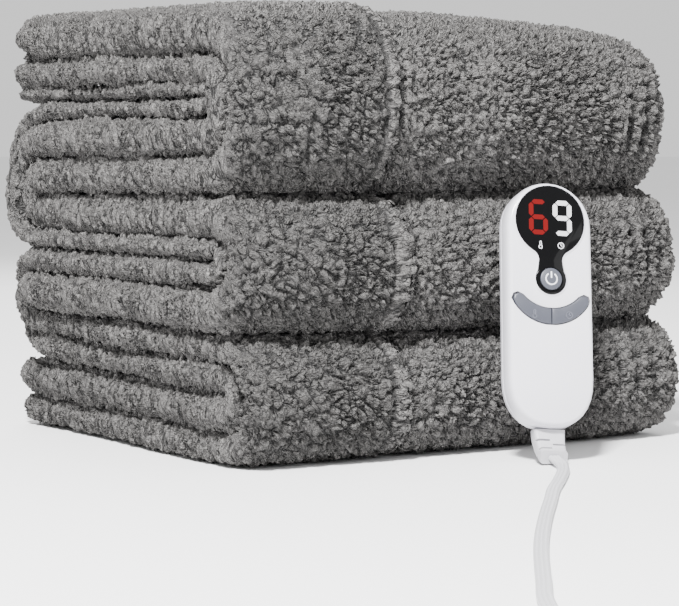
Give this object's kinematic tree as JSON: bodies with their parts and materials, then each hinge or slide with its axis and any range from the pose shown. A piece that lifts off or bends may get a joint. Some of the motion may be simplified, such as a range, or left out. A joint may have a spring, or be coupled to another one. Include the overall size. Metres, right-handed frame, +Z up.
{
  "type": "folded electric heated blanket with hand controller",
  "caption": "Thick pile fleece heated blanket folded into a square stack of round-fronted bundles, with a hand controller leaning on it and a coiled flat lead.",
  "frame": {"origin": "centre of the footprint of stack and controller, on the surface they stand on", "axes": "+Z up; -Y is the front, where the three round folds and the controller face; +X runs along the front to the right"},
  "size_m": [0.4539, 0.8311, 0.2473],
  "materials": {
    "blanket": "curly pile fleece, matt, mid grey",
    "case_plastic": "moulded case, near-white, satin gloss",
    "window_plastic": "polished black display lens",
    "key_plastic": "grey buttons, fine satin",
    "relief_plastic": "soft white strain relief",
    "lead_plastic": "white flexible cord jacket",
    "tie_plastic": "white wrap-round tie",
    "blade_brass": "bright brass plug blades"
  },
  "bodies": {
    "blanket_set": {"blanket": "blanket", "front_shell": "case_plastic", "back_shell": "case_plastic", "display_window": "window_plastic", "strain_relief": "relief_plastic", "lead": "lead_plastic", "lead_coil": "lead_plastic", "lead_tail": "lead_plastic", "coil_tie": "tie_plastic", "plug_body": "lead_plastic", "plug_blade_left": "blade_brass", "plug_blade_right": "blade_brass"},
    "power_button": {"power_button": "key_plastic"},
    "temp_key": {"temp_key": "key_plastic"},
    "timer_key": {"timer_key": "key_plastic"}
  },
  "joints": [
    {"name": "power_press", "type": "slide", "parent": "blanket_set", "child": "power_button", "axis": [0.3288, 0.9033, -0.2756], "range_m": [0, 0.001], "stiffness_N_per_m": 800, "springref_m": -0.001},
    {"name": "temp_press", "type": "slide", "parent": "blanket_set", "child": "temp_key", "axis": [0.3288, 0.9033, -0.2756], "range_m": [0, 0.001], "stiffness_N_per_m": 800, "springref_m": -0.001},
    {"name": "timer_press", "type": "slide", "parent": "blanket_set", "child": "timer_key", "axis": [0.3288, 0.9033, -0.2756], "range_m": [0, 0.001], "stiffness_N_per_m": 800, "springref_m": -0.001}
  ]
}
